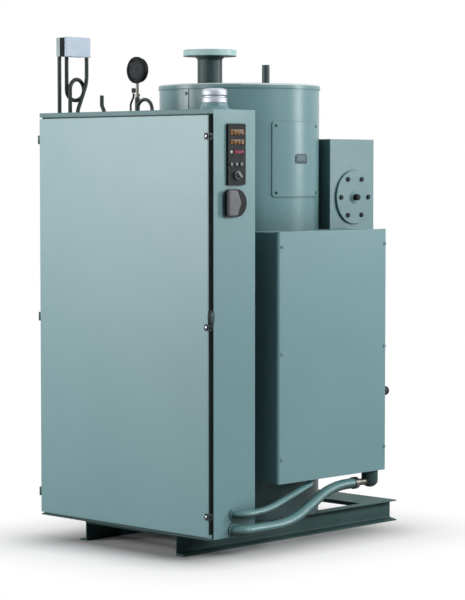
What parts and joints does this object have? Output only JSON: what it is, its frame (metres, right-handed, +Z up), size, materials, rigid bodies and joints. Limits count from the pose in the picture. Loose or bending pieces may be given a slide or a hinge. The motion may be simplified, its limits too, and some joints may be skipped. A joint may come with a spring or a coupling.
{
  "type": "industrial boiler",
  "caption": "Vertical electric steam boiler: insulated round vessel, hinged control cabinet, element housing with conduits, gauge trim and flanged steam outlet on a channel base.",
  "frame": {"origin": "middle of the overall footprint, at floor level", "axes": "+Z up, -Y towards the cabinet door, +X towards the element housing"},
  "size_m": [0.8944, 1.145, 1.7452],
  "materials": {
    "green_paint": "satin grey-green enamel",
    "white_paint": "white baked enamel",
    "black_rubber": "matt",
    "black_plastic": "matt black",
    "grey_plastic": "satin grey",
    "black_steel": "black pipe and case finish",
    "pale_paint": "smooth pale blue-grey",
    "bright_metal": "cast and machined, bright",
    "brass": "dull brass"
  },
  "bodies": {
    "boiler": {"base_channel_left": "green_paint", "base_channel_right": "green_paint", "base_front_tie": "green_paint", "base_rear_tie": "green_paint", "jacket_shell": "green_paint", "jacket_base": "green_paint", "jacket_lid": "green_paint", "jacket_seam": "green_paint", "access_plate": "green_paint", "steam_nozzle": "green_paint", "steam_flange": "green_paint", "vent_nozzle": "green_paint", "element_box": "green_paint", "element_cover": "green_paint", "nozzle_housing": "green_paint", "round_cover": "green_paint", "conduit_lower": "green_paint", "conduit_upper": "green_paint", "conduit_bushings": "green_paint", "cabinet_left": "green_paint", "cabinet_right": "green_paint", "cabinet_roof": "green_paint", "cabinet_floor": "green_paint", "cabinet_back": "green_paint", "cabinet_hood": "green_paint", "cabinet_sill": "green_paint", "hub_foot": "green_paint", "drop_fitting": "green_paint", "hinge_pins": "green_paint", "neck_rails": "green_paint", "mounting_panel": "white_paint", "door_neck": "black_rubber", "control_panel": "black_plastic", "switch_base": "black_plastic", "rear_plug": "black_plastic", "cover_knob": "black_plastic", "panel_buttons": "grey_plastic", "control_post": "black_steel", "control_siphon": "black_steel", "control_tube": "black_steel", "vent_stub": "black_steel", "gauge_siphon": "black_steel", "gauge_cock": "black_steel", "gauge_drain": "black_steel", "gauge_case": "black_steel", "control_case": "black_steel", "control_cover": "pale_paint", "control_back": "pale_paint", "power_hub": "bright_metal", "conduit_gland": "bright_metal", "gauge_stem": "brass"},
    "door": {"door_panel": "green_paint", "door_stiffeners": "green_paint", "hinge_knuckles": "green_paint", "door_clamps": "black_steel"},
    "switch": {"switch_handle": "grey_plastic"},
    "selector": {"panel_knob": "grey_plastic"}
  },
  "joints": [
    {"name": "door_hinge", "type": "hinge", "parent": "boiler", "child": "door", "pos_m": [-0.44075, -0.5615, 0.775], "axis": [0, 0, -1], "range_deg": [0, 135]},
    {"name": "switch_turn", "type": "hinge", "parent": "boiler", "child": "switch", "pos_m": [0.39925, -0.4645, 1.1752], "axis": [1, 0, 0], "range_deg": [0, 90]},
    {"name": "selector_turn", "type": "hinge", "parent": "boiler", "child": "selector", "pos_m": [0.39825, -0.4415, 1.2662], "axis": [1, 0, 0], "range_deg": [-45, 45]}
  ]
}
